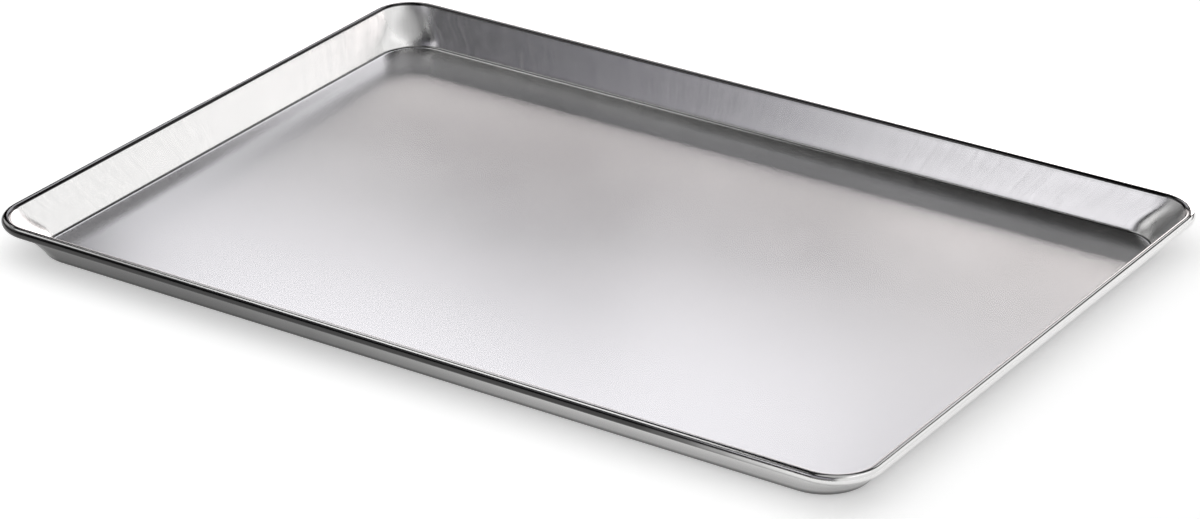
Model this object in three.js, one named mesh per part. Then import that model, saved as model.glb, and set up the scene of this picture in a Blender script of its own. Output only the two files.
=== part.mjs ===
// Sheet pan: one drawn aluminium sheet with a flat floor and leaning walls,
// whose edge is rolled round a loop of steel wire. Millimetres, +Z up. The pan
// stands on Z = 0 with its middle on the Z axis and its long side along X.
import * as THREE from 'three';

// Overall size, over the rolled rim.
const panLength = 533;
const panWidth = 381;
const panHeight = 22;

// Sheet and wire.
const sheetThickness = 1.0;
const wireDiameter = 3.5;
const wireClearance = 0.1; // between the wire and the inside of the roll
const wireEndGap = 1.0; // between the wire's two cut ends, mid-way along the back
const lipGap = 0.4; // between the free edge of the roll and the outside of the wall

// Walls and corners.
const wallLean = 31; // degrees from upright
const bendRadius = 2.5; // inside the pan, between floor and wall
const rimCornerRadius = 26; // in plan, at the outer edge of the rim
const floorCornerRadius = 22; // in plan, at the edge of the flat floor

// Facets of the round stretches.
const cornerFacets = 14; // in each quarter turn of a corner
const rollFacets = 22; // round the roll, from the wall to its free edge
const wireFacets = 24; // round the wire
const bendFacets = 5; // in the bend between floor and wall
const wallFacets = 6; // up the wall, whose corners change radius

// A profile lies in a plane square to the rim: x is the distance in from the
// rim's outer edge, y is the height. Each profile point also carries the
// distance in to the centre of its corner arc.
const lean = THREE.MathUtils.degToRad(wallLean);
const intoPan = new THREE.Vector2(Math.cos(lean), Math.sin(lean)); // square to the wall
const upWall = new THREE.Vector2(-Math.sin(lean), Math.cos(lean));

const rollInside = wireDiameter / 2 + wireClearance;
const rollOutside = rollInside + sheetThickness;
const rollCentre = new THREE.Vector2(rollOutside, panHeight - rollOutside);

// The bend between floor and wall is tangent to both.
const bendHeight = sheetThickness + bendRadius;
const bendIn =
  rollCentre.x + (rollOutside + bendRadius + (rollCentre.y - bendHeight) * intoPan.y) / intoPan.x;
const bendCentre = new THREE.Vector2(bendIn, bendHeight);
const floorCornerCentre = bendCentre.x + floorCornerRadius;

function profilePoint(place, cornerCentre) {
  return { in: place.x, height: place.y, cornerCentre };
}

// Point on a circle round the wire, turned from the wall over the top by angle.
function rollPoint(radius, angle) {
  return rollCentre
    .clone()
    .addScaledVector(intoPan, radius * Math.cos(angle))
    .addScaledVector(upWall, radius * Math.sin(angle));
}

// Rolled edge from the wall round to the free lip, at one face of the sheet.
function rollArc(radius) {
  const lipAngle = 2 * Math.PI - Math.acos((rollInside - lipGap) / rollOutside);
  const points = [];
  for (let i = 0; i <= rollFacets; i += 1) {
    points.push(profilePoint(rollPoint(radius, (lipAngle * i) / rollFacets), rimCornerRadius));
  }
  return points;
}

// Bend from the floor up to the wall, at one face of the sheet.
function bendArc(radius) {
  const sweep = Math.PI / 2 - lean;
  const points = [];
  for (let i = 0; i <= bendFacets; i += 1) {
    const angle = -Math.PI / 2 - (sweep * i) / bendFacets;
    const spoke = new THREE.Vector2(Math.cos(angle), Math.sin(angle));
    points.push(profilePoint(bendCentre.clone().addScaledVector(spoke, radius), floorCornerCentre));
  }
  return points;
}

// Wall between bend and roll, without its two end points. The corner's centre
// moves out smoothly on the way up, so the corner is a scoop and not a cone.
function wallLine(foot, top) {
  const points = [];
  for (let i = 1; i < wallFacets; i += 1) {
    const share = i / wallFacets;
    const eased = THREE.MathUtils.smoothstep(share, 0, 1);
    const place = new THREE.Vector2(foot.in, foot.height).lerp(new THREE.Vector2(top.in, top.height), share);
    points.push(profilePoint(place, THREE.MathUtils.lerp(floorCornerCentre, rimCornerRadius, eased)));
  }
  return points;
}

// One face of the sheet, from the flat floor to the free lip of the roll.
function sheetFace(bendFaceRadius, rollFaceRadius) {
  const bend = bendArc(bendFaceRadius);
  const roll = rollArc(rollFaceRadius);
  return [...bend, ...wallLine(bend.at(-1), roll[0]), ...roll];
}

// Corner points of one level, counter-clockwise from the right-hand back corner.
const cornerSigns = [
  [1, 1],
  [-1, 1],
  [-1, -1],
  [1, -1],
];

function cornerPoints({ in: distanceIn, height, cornerCentre }, corner) {
  const [signX, signY] = cornerSigns[corner];
  const radius = cornerCentre - distanceIn;
  const points = [];
  for (let i = 0; i <= cornerFacets; i += 1) {
    const angle = (Math.PI / 2) * (corner + i / cornerFacets);
    points.push([
      signX * (panLength / 2 - cornerCentre) + radius * Math.cos(angle),
      signY * (panWidth / 2 - cornerCentre) + radius * Math.sin(angle),
      height,
    ]);
  }
  return points;
}

function solidGeometry(points, triangles) {
  const geometry = new THREE.BufferGeometry();
  geometry.setAttribute('position', new THREE.Float32BufferAttribute(points.flat(), 3));
  geometry.setIndex(triangles.flat());
  geometry.computeVertexNormals();
  return geometry;
}

// Two triangles between neighbouring points of two rows.
function quad(row, nextRow, column, nextColumn) {
  return [
    [row + column, nextRow + column, nextRow + nextColumn],
    [row + column, nextRow + nextColumn, row + nextColumn],
  ];
}

// The sheet: its profile carried round all four sides, then closed by the top
// and the underside of the flat floor.
function panShellGeometry() {
  const insideFace = sheetFace(bendRadius, rollOutside);
  const outsideFace = sheetFace(bendRadius + sheetThickness, rollInside);
  const profile = [...insideFace, ...outsideFace.reverse()];
  const levels = profile.map((point) => [0, 1, 2, 3].flatMap((corner) => cornerPoints(point, corner)));
  const points = levels.flat();
  const columns = levels[0].length;
  const triangles = [];

  for (let level = 0; level + 1 < levels.length; level += 1) {
    for (let column = 0; column < columns; column += 1) {
      triangles.push(...quad(level * columns, (level + 1) * columns, column, (column + 1) % columns));
    }
  }

  const floorTop = points.push([0, 0, sheetThickness]) - 1;
  const floorUnderside = points.push([0, 0, 0]) - 1;
  const lastRow = (levels.length - 1) * columns;
  for (let column = 0; column < columns; column += 1) {
    const next = (column + 1) % columns;
    triangles.push([floorTop, column, next]);
    triangles.push([floorUnderside, lastRow + next, lastRow + column]);
  }
  return solidGeometry(points, triangles);
}

// The wire: a round section carried along the rim from one cut end at the
// middle of the back side to the other, with a flat end at each.
function rimWireGeometry() {
  const rows = [];
  for (let i = 0; i < wireFacets; i += 1) {
    const place = rollPoint(wireDiameter / 2, (2 * Math.PI * i) / wireFacets);
    const point = profilePoint(place, rimCornerRadius);
    const backY = panWidth / 2 - point.in;
    rows.push([
      [-wireEndGap / 2, backY, point.height],
      ...[1, 2, 3, 0].flatMap((corner) => cornerPoints(point, corner)),
      [wireEndGap / 2, backY, point.height],
    ]);
  }
  const points = rows.flat();
  const columns = rows[0].length;
  const triangles = [];

  for (let row = 0; row < wireFacets; row += 1) {
    const nextRow = (row + 1) % wireFacets;
    for (let column = 0; column + 1 < columns; column += 1) {
      triangles.push(...quad(row * columns, nextRow * columns, column, column + 1));
    }
  }

  for (let row = 1; row + 1 < wireFacets; row += 1) {
    const start = [0, row * columns, (row + 1) * columns];
    const end = start.map((corner) => corner + columns - 1);
    triangles.push(start.reverse(), end);
  }
  return solidGeometry(points, triangles);
}

const satinAluminium = new THREE.MeshStandardMaterial({
  color: 0xc9c8c8,
  roughness: 0.36,
  metalness: 1.0,
});

const galvanisedSteel = new THREE.MeshStandardMaterial({
  color: 0x9a9ca0,
  roughness: 0.5,
  metalness: 1.0,
});

const panShell = new THREE.Mesh(panShellGeometry(), satinAluminium);
panShell.name = 'pan_shell';

const rimWire = new THREE.Mesh(rimWireGeometry(), galvanisedSteel);
rimWire.name = 'rim_wire';

const sheetPan = new THREE.Group();
sheetPan.add(panShell, rimWire);

export default sheetPan;
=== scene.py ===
from math import acos, atan2, copysign, cos, pi, radians, sin

import bmesh
import bpy
from mathutils import Matrix, Vector


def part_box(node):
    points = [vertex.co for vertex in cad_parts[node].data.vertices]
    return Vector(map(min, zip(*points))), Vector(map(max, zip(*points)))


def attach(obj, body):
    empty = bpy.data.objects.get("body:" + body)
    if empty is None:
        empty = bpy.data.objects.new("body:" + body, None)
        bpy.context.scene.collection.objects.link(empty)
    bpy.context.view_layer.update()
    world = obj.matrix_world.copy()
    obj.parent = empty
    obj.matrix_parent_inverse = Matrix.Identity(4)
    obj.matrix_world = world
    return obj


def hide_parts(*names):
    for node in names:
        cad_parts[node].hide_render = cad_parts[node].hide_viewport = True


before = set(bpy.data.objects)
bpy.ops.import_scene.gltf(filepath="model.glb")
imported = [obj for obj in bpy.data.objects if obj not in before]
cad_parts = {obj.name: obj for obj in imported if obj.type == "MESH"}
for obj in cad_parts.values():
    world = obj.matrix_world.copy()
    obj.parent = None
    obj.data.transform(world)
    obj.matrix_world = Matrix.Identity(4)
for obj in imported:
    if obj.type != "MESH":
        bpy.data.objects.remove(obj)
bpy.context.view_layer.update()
bpy.ops.object.select_all(action="DESELECT")


# Pan shell: one sheet of bare aluminium, drawn to a flat floor, leaning walls and round corners. Its
# edge is rolled outwards and down into a round bead, whose free lip stops just short of the wall's
# outside.
mm = 0.001
half_length, half_width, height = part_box("pan_shell")[1]
wire_low, wire_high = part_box("rim_wire")
wire_radius = (wire_high.z - wire_low.z) / 2
bead_radius = half_length - wire_high.x + wire_radius
sheet = 1.0 * mm
lip_gap = 0.4 * mm
wall_lean = radians(31)
bend_radius = 2.5 * mm
rim_corner = 26 * mm
floor_corner = 22 * mm
floor_ring = 4 * mm  # a ring of narrow faces round the flat floor, which keeps its shading level
corner_segments = 30
bend_segments = 8
wall_segments = 12
bead_segments = 50
inner_bead_segments = 30
smooth_angle = radians(40)

# The profile runs in a plane square to the rim, as (distance in from the rim's outer edge, height).
# Each of its levels is carried round the pan as one loop.
into_pan = Vector((cos(wall_lean), sin(wall_lean)))
up_wall = Vector((-sin(wall_lean), cos(wall_lean)))
bead_centre = Vector((bead_radius, height - bead_radius))
bend_rise = bead_centre.y - sheet - bend_radius
bend_centre = Vector((
    bead_centre.x + (bead_radius + bend_radius + bend_rise * into_pan.y) / into_pan.x,
    sheet + bend_radius,
))
floor_corner_centre = bend_centre.x + floor_corner


def steps(count):
    return [index / count for index in range(count + 1)]


def bend_levels(radius):
    """The bend from the floor up to the wall, at one face of the sheet."""
    angles = [-pi / 2 - (pi / 2 - wall_lean) * share for share in steps(bend_segments)]
    spokes = [Vector((cos(angle), sin(angle))) for angle in angles]
    return [(bend_centre + radius * spoke, floor_corner_centre) for spoke in spokes]


def bead_levels(radius, segments):
    """The rolled edge from the wall over the top and round to its free lip."""
    lip_angle = 2 * pi - acos((bead_radius - sheet - lip_gap) / bead_radius)
    angles = [lip_angle * share for share in steps(segments)]
    spokes = [cos(angle) * into_pan + sin(angle) * up_wall for angle in angles]
    return [(bead_centre + radius * spoke, rim_corner) for spoke in spokes]


def wall_levels(foot, top):
    """The flat of the wall. Its corner's centre moves out on the way up, so the corner is a scoop."""
    levels = []
    for share in steps(wall_segments)[1:-1]:
        eased = share * share * (3 - 2 * share)
        corner_centre = floor_corner_centre + eased * (rim_corner - floor_corner_centre)
        levels.append((foot.lerp(top, share), corner_centre))
    return levels


def sheet_face(bend, bead):
    return bend + wall_levels(bend[-1][0], bead[0][0]) + bead


inside_face = sheet_face(bend_levels(bend_radius), bead_levels(bead_radius, bead_segments))
outside_face = sheet_face(
    bend_levels(bend_radius + sheet),
    bead_levels(bead_radius - sheet, inner_bead_segments),
)
profile = inside_face + outside_face[::-1]


def side_of(vertex):
    """The corner of the pan that a point belongs to, as a sign along each axis."""
    return Vector((copysign(1, vertex.co.x), copysign(1, vertex.co.y)))


def draw_level(mesh, level, last, run):
    """Extrudes the selected loop of edges and draws its corner points from the last level to this one."""
    bpy.ops.mesh.extrude_edges_indiv()
    (place, centre_in), (last_place, last_centre_in) = level, last
    grown = (centre_in - place.x) / (last_centre_in - last_place.x)
    shift = last_centre_in - centre_in
    corner_middle = Vector((half_length - last_centre_in, half_width - last_centre_in))
    drawn = bmesh.from_edit_mesh(mesh)
    up_sheet = drawn.verts.layers.float["up_sheet"]
    for vertex in drawn.verts:
        if vertex.select:
            side = side_of(vertex)
            corner = side * corner_middle
            vertex.co.xy = corner + side * shift + grown * (vertex.co.xy - corner)
            vertex.co.z = place.y
            vertex[up_sheet] = run
    bmesh.update_edit_mesh(mesh)


floor_edge = profile[0][0]
bpy.ops.mesh.primitive_plane_add(size=2)
pan = bpy.context.object
pan.name = pan.data.name = "drawn_pan"
bpy.ops.object.mode_set(mode="EDIT")
bpy.ops.transform.resize(value=(half_length - floor_edge.x, half_width - floor_edge.x, 1))
bpy.ops.transform.translate(value=(0, 0, floor_edge.y))
bpy.ops.mesh.bevel(offset=floor_corner, segments=corner_segments, profile=0.5, affect="VERTICES")
bpy.ops.mesh.select_mode(type="FACE")
bpy.ops.mesh.select_all(action="SELECT")
bpy.ops.mesh.inset(thickness=floor_ring)

# Each point carries its place on the flat sheet: the way round the rim, counter-clockwise from the
# right-hand back corner, and the way up from the floor's edge. The finish follows these two.
quarter = rim_corner * pi / 2
long_side = 2 * (half_length - rim_corner)
short_side = 2 * (half_width - rim_corner)
rim_girth = 4 * quarter + 2 * long_side + 2 * short_side
corner_starts = {
    (1, 1): 0,
    (-1, 1): quarter + long_side,
    (-1, -1): 2 * quarter + long_side + short_side,
    (1, -1): 3 * quarter + 2 * long_side + short_side,
}
drawn = bmesh.from_edit_mesh(pan.data)
drawn.verts.layers.float.new("up_sheet")
round_rim = drawn.verts.layers.float.new("round_rim")
for vertex in drawn.verts:
    side = side_of(vertex)
    from_corner = Vector((
        side.x * vertex.co.x - half_length + floor_corner_centre,
        side.y * vertex.co.y - half_width + floor_corner_centre,
    ))
    turned = atan2(from_corner.y, from_corner.x)
    if side.x != side.y:
        turned = pi / 2 - turned
    vertex[round_rim] = corner_starts[side.x, side.y] + rim_corner * turned
bmesh.update_edit_mesh(pan.data)

bpy.ops.mesh.select_all(action="SELECT")
bpy.ops.mesh.region_to_loop()
runs = [0]
for last, level in zip(profile, profile[1:]):
    runs.append(runs[-1] + (level[0] - last[0]).length)
    draw_level(pan.data, level, last, runs[-1])
bpy.ops.mesh.edge_face_add()
bpy.ops.mesh.select_mode(type="FACE")
bpy.ops.mesh.inset(thickness=floor_ring)
bpy.ops.mesh.select_all(action="SELECT")
bpy.ops.mesh.normals_make_consistent(inside=False)

drawn = bmesh.from_edit_mesh(pan.data)
up_sheet = drawn.verts.layers.float["up_sheet"]
round_rim = drawn.verts.layers.float["round_rim"]
sheet_map = drawn.loops.layers.uv.new("sheet_map")
for face in drawn.faces:
    places = [loop.vert[round_rim] for loop in face.loops]
    joins = max(places) - min(places) > rim_girth / 2
    for loop, place in zip(face.loops, places):
        if joins and place < rim_girth / 2:
            place += rim_girth
        loop[sheet_map].uv = (place, loop.vert[up_sheet])
bmesh.update_edit_mesh(pan.data)
bpy.ops.object.mode_set(mode="OBJECT")
bpy.ops.object.shade_smooth_by_angle(angle=smooth_angle)
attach(pan, "root")
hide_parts("pan_shell")


class Field:
    """A socket of the node tree in hand. Arithmetic on it adds Math nodes; node() adds any other kind."""

    tree = None

    def __init__(self, socket):
        self.socket = socket

    @classmethod
    def node(cls, kind, settings, sockets):
        made = cls.tree.nodes.new(kind)
        for name, value in settings.items():
            setattr(made, name, value)
        for name, value in sockets.items():
            if isinstance(value, Field):
                cls.tree.links.new(value.socket, made.inputs[name])
            else:
                made.inputs[name].default_value = value
        return made

    @classmethod
    def maths(cls, operation, *values):
        return cls(cls.node("ShaderNodeMath", {"operation": operation}, dict(enumerate(values))).outputs[0])

    def __add__(self, other):
        return Field.maths("ADD", self, other)

    def __radd__(self, other):
        return Field.maths("ADD", other, self)

    def __sub__(self, other):
        return Field.maths("SUBTRACT", self, other)

    def __rsub__(self, other):
        return Field.maths("SUBTRACT", other, self)

    def __mul__(self, other):
        return Field.maths("MULTIPLY", self, other)

    def __rmul__(self, other):
        return Field.maths("MULTIPLY", other, self)

    def ramp(self, low, high):
        """Rises smoothly from 0 at low to 1 at high."""
        settings = {"interpolation_type": "SMOOTHSTEP"}
        sockets = {"Value": self, "From Min": low, "From Max": high}
        return Field(Field.node("ShaderNodeMapRange", settings, sockets).outputs[0])


def new_material(name, piece):
    material = bpy.data.materials.new(name)
    material.use_nodes = True
    Field.tree = material.node_tree
    piece.data.materials.clear()
    piece.data.materials.append(material)
    return material.node_tree.nodes["Principled BSDF"]


def object_place():
    return Field(Field.node("ShaderNodeTexCoord", {}, {}).outputs["Object"])


def place_at(x, y, z):
    return Field(Field.node("ShaderNodeCombineXYZ", {}, {"X": x, "Y": y, "Z": z}).outputs[0])


def split(place):
    parts = Field.node("ShaderNodeSeparateXYZ", {}, {"Vector": place})
    return Field(parts.outputs["X"]), Field(parts.outputs["Y"])


def noise(place, scale, detail=2.0):
    """Noise from about -0.5 to 0.5, with even light and dark."""
    sockets = {"Vector": place, "Scale": scale, "Detail": detail, "Roughness": 0.55}
    return Field(Field.node("ShaderNodeTexNoise", {"noise_dimensions": "3D"}, sockets).outputs[0]) - 0.5


def band(field, start, full, fade, end):
    """Rises from 0 at start to 1 at full, and falls from fade to 0 at end."""
    return field.ramp(start, full) * (1 - field.ramp(fade, end))


def over(below, above, cover):
    """One value laid over another, as far as the cover goes from 0 to 1."""
    return below + cover * (above - below)


def grey(value, warmth):
    """A grey of that value, warmer or cooler by the given share."""
    sockets = {"Red": value * (1 + warmth), "Green": value, "Blue": value * (1 - warmth)}
    return Field(Field.node("ShaderNodeCombineColor", {}, sockets).outputs[0])


def join(field, socket):
    Field.tree.links.new(field.socket, socket)


# The finish: a satin floor with a fine grain, walls drawn bright with faint streaks up them, a polished
# roll with lines along it, and a duller underside. Painted shade lies as dark lines in the floor's bend
# and at the roll's inner foot, and darkens the outside, most at its left end and along its base.
shader = new_material("satin_aluminium", pan)
where = object_place()
place_x, place_y = split(where)
along, up = split(Field(Field.node("ShaderNodeUVMap", {"uv_map": "sheet_map"}, {}).outputs[0]))

# Places up the sheet: the inner wall, the roll from the wall's top to its lip, and the outside down to the
# base. The outside of the roll starts at its shoulder, a third of the way round and just past the top.
lip_level = len(inside_face) - 1
wall_foot = runs[bend_segments]
wall_top = runs[lip_level - bead_segments]
lip = runs[lip_level]
outer_top = runs[lip_level + 1 + inner_bead_segments]
outer_foot = runs[-1 - bend_segments]
base = runs[-1]
shoulder_share = 0.335
shoulder = wall_top + shoulder_share * (lip - wall_top)
on_wall = up.ramp(wall_foot - 2 * mm, wall_foot + 1 * mm)
on_roll = up.ramp(wall_top - 0.8 * mm, wall_top + 1.2 * mm)
outside = up.ramp(shoulder - 0.5 * mm, shoulder + 0.5 * mm)
underside = up.ramp(base - 0.6 * mm, base - 0.1 * mm)
corner_start, corner_full = 34 * mm, 16 * mm
near_end = Field.maths("ABSOLUTE", place_x).ramp(half_length - corner_start, half_length - corner_full)
near_side = Field.maths("ABSOLUTE", place_y).ramp(half_width - corner_start, half_width - corner_full)
in_corner = near_end * near_side

# Patterns: grain, mottling and clouds anywhere on the metal, streaks up the walls, lines along the roll.
grain = noise(where, scale=900.0, detail=3.0)
mottle = noise(where, scale=190.0, detail=3.0)
cloud = noise(where, scale=14.0, detail=3.0)
streak = noise(place_at(along * 520.0, up * 30.0, 0.0), scale=1.0, detail=3.0)
roll_line = noise(place_at(along * 9.0, up * 2600.0, 3.0), scale=1.0)

floor_rough = 0.22 + 0.03 * cloud + 0.03 * grain
wall_rough = 0.21 + 0.10 * streak + 0.06 * mottle + 0.16 * in_corner
roll_rough = 0.13 + 0.05 * roll_line
outside_rough = 0.22 + 0.08 * streak
underside_rough = 0.30 + 0.08 * cloud + 0.06 * grain
rough = over(floor_rough, wall_rough, on_wall)
rough = over(rough, roll_rough, on_roll)
rough = over(rough, outside_rough, outside)
rough = over(rough, underside_rough, underside)
join(rough, shader.inputs["Roughness"])

floor_tone = 0.80 + 0.03 * cloud + 0.08 * grain
wall_tone = 0.80 + 0.03 * cloud + 0.12 * streak + 0.10 * mottle
roll_tone = 0.74 + 0.10 * roll_line
tone = over(floor_tone, wall_tone, on_wall)
tone = over(tone, roll_tone, on_roll)

# Painted shade: dark lines in the floor's bend and at the roll's inner foot, just above the wall's top.
bend_shade_line = band(up, 0.25 * wall_foot, 0.5 * wall_foot, 0.625 * wall_foot, wall_foot)
roll_foot_shade = band(up, wall_top + 0.3 * mm, wall_top + 0.8 * mm, wall_top + 2.6 * mm, wall_top + 3.4 * mm)
deep_roll_foot_shade = band(up, wall_top, wall_top + 0.4 * mm, wall_top + 1.2 * mm, wall_top + 2.0 * mm)
tone = tone * (1 - 0.68 * roll_foot_shade) * (1 - 0.80 * deep_roll_foot_shade)
tone = tone * (1 - 0.75 * bend_shade_line)

# Painted shade goes from dark to bright between two places along the pan, on the outer wall and under the
# roll.
wall_dark, wall_bright = -0.17, 0.20
roll_dark, roll_bright = 0.15, 0.25
from_left_end = place_x + 0.10 * cloud
# Painted shade also darkens the outer wall down towards its base, and most along the base's edge.
down_wall_shade = up.ramp(outer_top - 3 * mm, outer_foot + 3 * mm)
base_edge_shade = up.ramp(outer_foot - 3.2 * mm, outer_foot + 0.2 * mm)
outer_wall_tone = 0.28 + 0.68 * from_left_end.ramp(wall_dark, wall_bright) + 0.05 * streak
outer_wall_tone = outer_wall_tone * (1 - 0.52 * down_wall_shade) * (1 - 0.68 * base_edge_shade)
# Painted shade darkens the lower part of the roll's outer face, towards its lip.
low_side_shade = up.ramp(wall_top + 7.5 * mm, wall_top + 9.8 * mm)
under_roll_tone = (0.06 + 0.70 * from_left_end.ramp(roll_dark, roll_bright)) * (1 - 0.4 * low_side_shade)
under_roll = outside * (1 - up.ramp(lip - 0.6 * mm, lip + 0.6 * mm))
outside_tone = over(outer_wall_tone, under_roll_tone, under_roll)
underside_tone = 0.66 + 0.10 * cloud + 0.08 * grain
tone = over(tone, outside_tone, outside)
tone = over(tone, underside_tone, underside)
join(grey(tone, warmth=0.006), shader.inputs["Base Color"])
shader.inputs["Metallic"].default_value = 1.0

grain_height, streak_height, underside_height = 0.005 * mm, 0.006 * mm, 0.003 * mm
relief = grain_height * grain * (1 - on_wall) + streak_height * streak * on_wall * (1 - on_roll)
relief = relief + underside_height * grain * underside
bump = Field.node("ShaderNodeBump", {}, {"Height": relief, "Distance": 1.0, "Strength": 1.0})
join(Field(bump.outputs[0]), shader.inputs["Normal"])


# Rim wire: one length of galvanised steel wire, bent to the rim's loop with its two cut ends butted at
# the middle of the back. The sheet's edge is rolled round it, which holds it without a weld.
wire_end = 0.5 * mm  # half the gap between the two cut ends
wire_sides = 20
wire_corner_steps = 18
wire_middle = Vector((0, half_width - bead_centre.x, bead_centre.y))
bpy.ops.mesh.primitive_circle_add(
    vertices=wire_sides,
    radius=wire_radius,
    fill_type="NGON",
    location=wire_middle - Vector((wire_end, 0, 0)),
    rotation=(0, -pi / 2, 0),
)
wire = bpy.context.object
wire.name = wire.data.name = "butted_wire"
bpy.ops.object.transform_apply(location=True, rotation=True, scale=True)
bpy.ops.object.mode_set(mode="EDIT")
bpy.ops.mesh.select_mode(type="FACE")
bpy.ops.mesh.select_all(action="SELECT")
corner_x = half_length - rim_corner
corner_y = half_width - rim_corner
legs = [
    ((wire_end - corner_x, 0, 0), (-corner_x, corner_y)),
    ((0, -2 * corner_y, 0), (-corner_x, -corner_y)),
    ((2 * corner_x, 0, 0), (corner_x, -corner_y)),
    ((0, 2 * corner_y, 0), (corner_x, corner_y)),
]
for leg, corner in legs:
    bpy.ops.mesh.extrude_region_move(TRANSFORM_OT_translate={"value": leg})
    bpy.ops.mesh.spin(steps=wire_corner_steps, angle=-pi / 2, center=(*corner, 0), axis=(0, 0, 1))
bpy.ops.mesh.extrude_region_move(TRANSFORM_OT_translate={"value": (wire_end - corner_x, 0, 0)})
bpy.ops.mesh.select_all(action="SELECT")
bpy.ops.mesh.remove_doubles(threshold=0.001 * mm)
bpy.ops.mesh.normals_make_consistent(inside=False)
bpy.ops.object.mode_set(mode="OBJECT")
bpy.ops.object.shade_smooth_by_angle(angle=smooth_angle)
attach(wire, "root")
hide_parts("rim_wire")

# Zinc sets in flat spangles, each a little lighter or darker and smoother or duller than the next.
shader = new_material("galvanised_wire", wire)
where = object_place()
spangle_cell = Field.node("ShaderNodeTexVoronoi", {"feature": "F1"}, {"Vector": where, "Scale": 900.0})
spangle_colour = Field(spangle_cell.outputs["Color"])
spangle = Field(Field.node("ShaderNodeSeparateColor", {}, {"Color": spangle_colour}).outputs[0])
dull = noise(where, scale=300.0)
join(grey(0.50 + 0.18 * spangle + 0.08 * dull, warmth=-0.02), shader.inputs["Base Color"])
join(0.34 + 0.18 * spangle + 0.10 * dull, shader.inputs["Roughness"])
shader.inputs["Metallic"].default_value = 1.0


# Camera at the photograph's place: above the front, to the right of the middle, with the long lens that
# the nearly parallel sides of the rim ask for.
photo_width = 1200
focal_pixels = 4285.3
azimuth, elevation, roll = radians(32.974), radians(25.626), radians(0.317)
camera_distance = 2.2869
aim_right, aim_up = 0.0001, -0.0060
turn = (
    Matrix.Rotation(azimuth, 3, "Z")
    @ Matrix.Rotation(pi / 2 - elevation, 3, "X")
    @ Matrix.Rotation(roll, 3, "Z")
)
bpy.ops.object.camera_add(
    location=turn @ Vector((aim_right, aim_up, camera_distance)),
    rotation=turn.to_euler(),
)
camera = bpy.context.object
camera.data.sensor_width = 36
camera.data.lens = camera.data.sensor_width * focal_pixels / photo_width
bpy.context.scene.camera = camera


# Table: a plain white sheet that runs past the picture on all sides, a hair below the pan's underside.
# Its glow is lower near the pan, where the overhead lamp lights it and the pan's shadow falls.
table_size = 8
table_drop = 0.2 * mm
near_glow = 0.45
glow_start, glow_full = 0.7, 1.7
bpy.ops.mesh.primitive_plane_add(size=table_size, location=(0, 0, -table_drop))
table = bpy.context.object
table.name = "table"
shader = new_material("white_table", table)
shader.inputs["Base Color"].default_value = (0.9, 0.9, 0.9, 1)
shader.inputs["Roughness"].default_value = 1.0
shader.inputs["Specular IOR Level"].default_value = 0.0
ray = Field.node("ShaderNodeLightPath", {}, {})
seen = Field(ray.outputs["Is Camera Ray"]) + Field(ray.outputs["Is Glossy Ray"])
seen = seen + Field(ray.outputs["Is Transmission Ray"])
away_node = Field.node("ShaderNodeVectorMath", {"operation": "LENGTH"}, {0: object_place()})
away = Field(away_node.outputs["Value"])
glow = near_glow + (1 - near_glow) * away.ramp(glow_start, glow_full)
join(grey(glow * seen, warmth=0.0), shader.inputs["Emission Color"])
shader.inputs["Emission Strength"].default_value = 1.0


# Studio light: soft rectangular panels round and over the table, about a metre from the pan and out of the
# picture. A panel's brightness is what its face shows against white. The panels show in the metal alone,
# and the overhead lamp lights the table alone.
back_y, front_y = 0.9, -1.3
left_x, right_x = -1.3, 0.95
top_z = 1.5
from_back = (-90, 0, 0)
from_front = (90, 0, 0)
from_left = (-90, 0, 90)
from_right = (-90, 0, -90)
from_above = (0, 0, 0)
white = (1, 1, 1)
warm = (1.0, 0.935, 0.93)
cool = (0.985, 0.98, 1.03)
lavender = (0.97, 0.95, 1.08)
pale = (0.995, 0.985, 1.025)


def softbox(name, middle, width, tall, facing, brightness, tint=white):
    bpy.ops.object.light_add(type="AREA", location=middle, rotation=[radians(angle) for angle in facing])
    lamp = bpy.context.object
    lamp.name = name
    lamp.data.shape = "RECTANGLE"
    lamp.data.size = width
    lamp.data.size_y = tall
    lamp.data.energy = brightness * pi * width * tall
    lamp.data.color = tint
    lamp.visible_camera = False
    lamp.visible_diffuse = False
    return lamp


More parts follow.
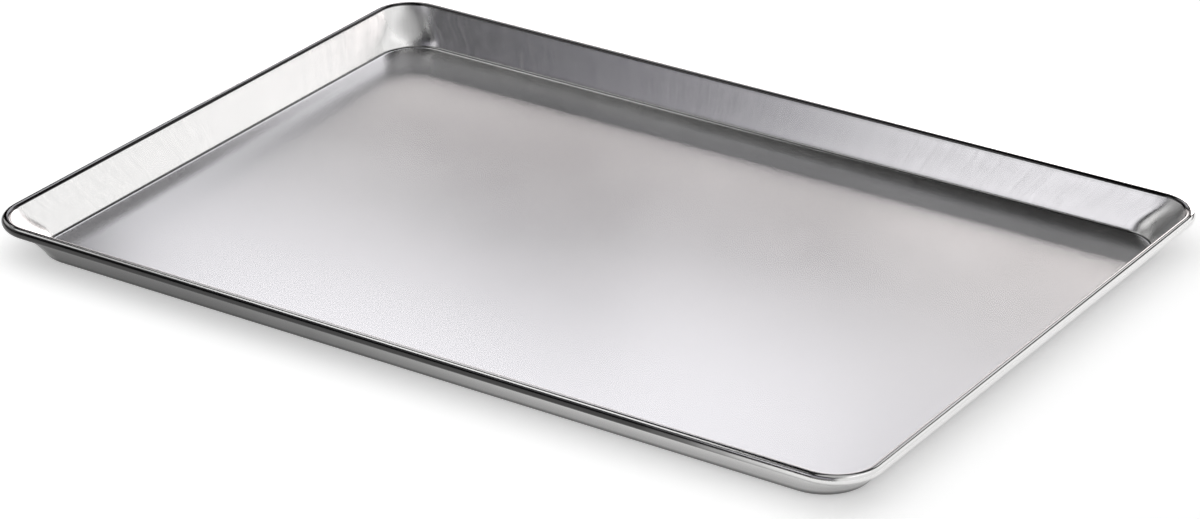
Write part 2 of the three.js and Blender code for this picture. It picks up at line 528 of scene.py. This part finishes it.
softbox("back_low", (-0.70, back_y, 0.195), 0.80, 0.29, from_back, 3.2, warm)
softbox("back_low_right", (-0.01, back_y, 0.195), 0.58, 0.29, from_back, 4.1, warm)
softbox("back_left_fill", (-0.94, back_y, 0.50), 0.40, 0.12, from_back, 0.22)
softbox("back_left_high", (-0.84, back_y, 0.89), 0.56, 0.65, from_back, 1.30, cool)
softbox("back_middle", (-0.45, back_y, 0.68), 0.22, 0.32, from_back, 1.35, cool)
softbox("back_middle_right", (-0.22, back_y, 0.62), 0.24, 0.22, from_back, 1.05, cool)
softbox("back_right_middle", (0.04, back_y, 0.73), 0.28, 0.50, from_back, 0.95)
softbox("back_right_inner", (0.51, back_y, 0.73), 0.10, 0.50, from_back, 0.95)
softbox("back_right_fill", (-0.13, back_y, 0.49), 0.44, 0.10, from_back, 0.34)
softbox("back_right_low", (0.455, back_y, 0.34), 0.19, 0.30, from_back, 1.3)
softbox("back_right_tall", (0.755, back_y, 0.725), 0.39, 1.45, from_back, 1.1)
softbox("front", (-0.62, front_y, 1.025), 0.52, 0.45, from_front, 1.45, pale)
softbox("front_right", (0.20, front_y, 1.1), 1.12, 0.6, from_front, 0.42, lavender)
softbox("front_left", (-1.06, front_y, 1.0), 0.36, 0.50, from_front, 0.25, lavender)
softbox("left_strip", (left_x, -0.16, 0.94), 1.36, 0.12, from_left, 0.49)
softbox("left_top", (left_x, -0.58, 1.275), 0.80, 0.49, from_left, 0.98)
softbox("right", (right_x, -0.175, 0.75), 2.15, 1.50, from_right, 0.95)
softbox("top_right", (0.825, 0.255, top_z), 0.57, 1.29, from_above, 1.0)
softbox("top_back", (-1.15, 0.68, top_z), 0.60, 0.50, from_above, 0.95)
softbox("top_front", (-0.88, -0.51, top_z), 0.66, 0.70, from_above, 1.3)
softbox("top_middle", (0.25, 0.05, top_z), 0.90, 1.40, from_above, 0.55)
softbox("left_low", (left_x, -0.45, 0.52), 1.50, 0.56, from_left, 0.45)
softbox("front_low", (0.35, front_y, 0.48), 1.10, 0.46, from_front, 0.25)
overhead = softbox("overhead", (-0.9, -0.3, 1.2), 4.0, 4.0, from_above, 0.95)
overhead.visible_diffuse = True
overhead.visible_glossy = False

bpy.context.scene.view_settings.view_transform = "Standard"
